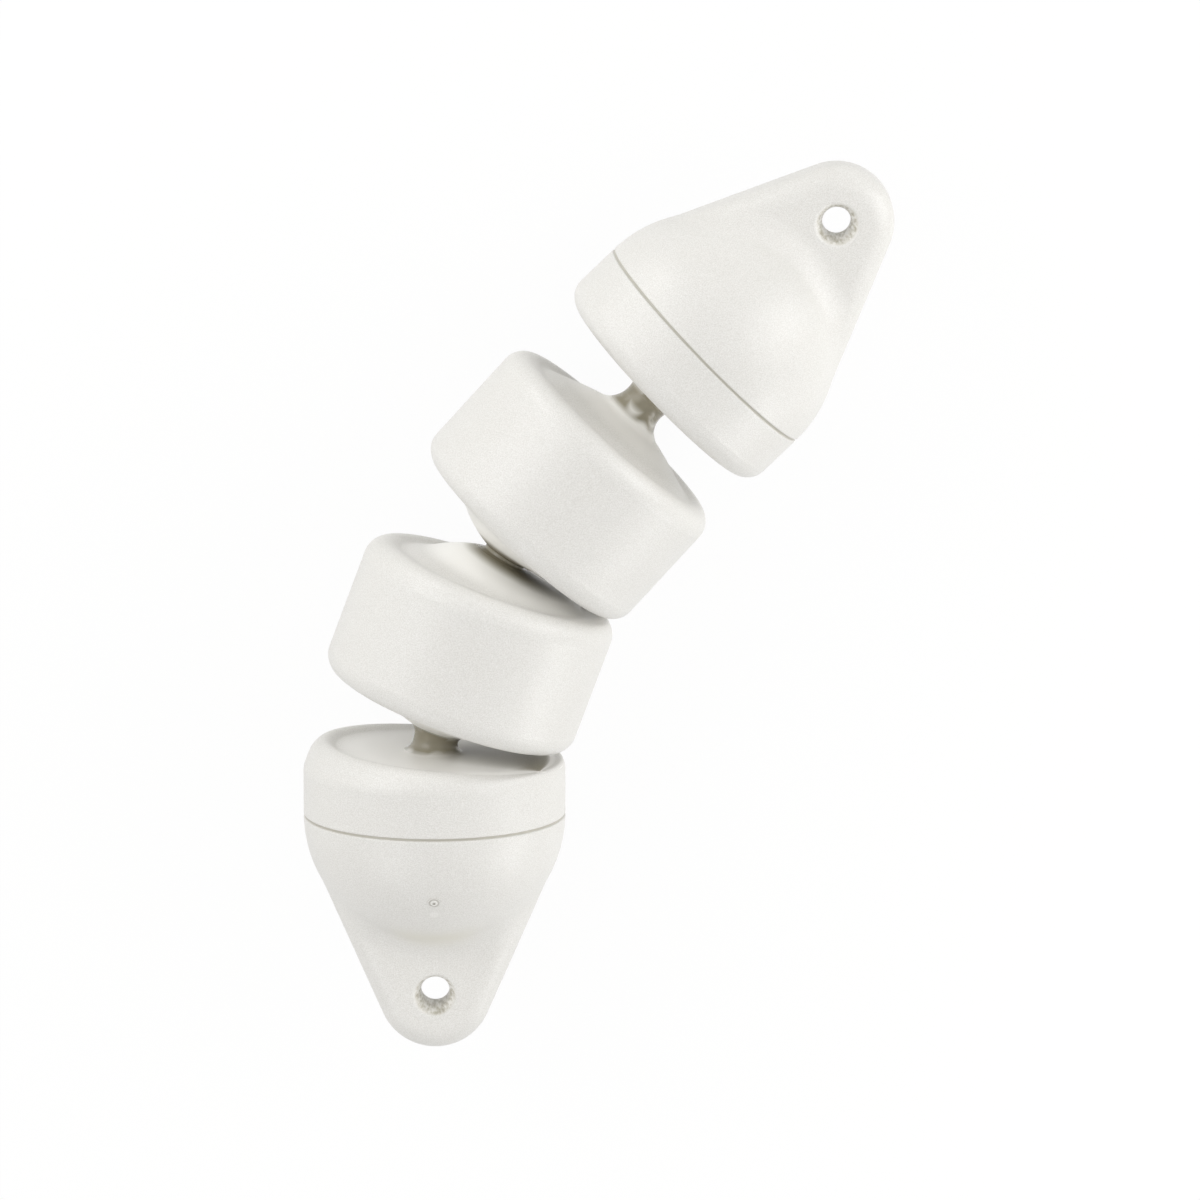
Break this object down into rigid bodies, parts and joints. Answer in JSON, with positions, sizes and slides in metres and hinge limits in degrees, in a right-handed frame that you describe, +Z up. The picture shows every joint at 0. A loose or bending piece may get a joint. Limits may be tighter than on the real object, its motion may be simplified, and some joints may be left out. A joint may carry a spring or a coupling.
{
  "type": "segmented boat fender",
  "caption": "White inflatable vinyl boat fender of drum segments joined by narrow necks, curved to hug a hull, with an eye at each end.",
  "frame": {"origin": "centre of the outline seen from above, on the surface that the drums rest on", "axes": "+Z up; the fender lies curved along the XY plane, bottom cap with its eye towards -Y, top cap towards +X +Y"},
  "size_m": [0.3706, 0.5629, 0.165],
  "materials": {
    "vinyl": "satin, fine moulded grain",
    "valve_rubber": "soft matte"
  },
  "bodies": {
    "root": {"fender_body": "vinyl", "inflation_valve": "valve_rubber"}
  },
  "joints": []
}
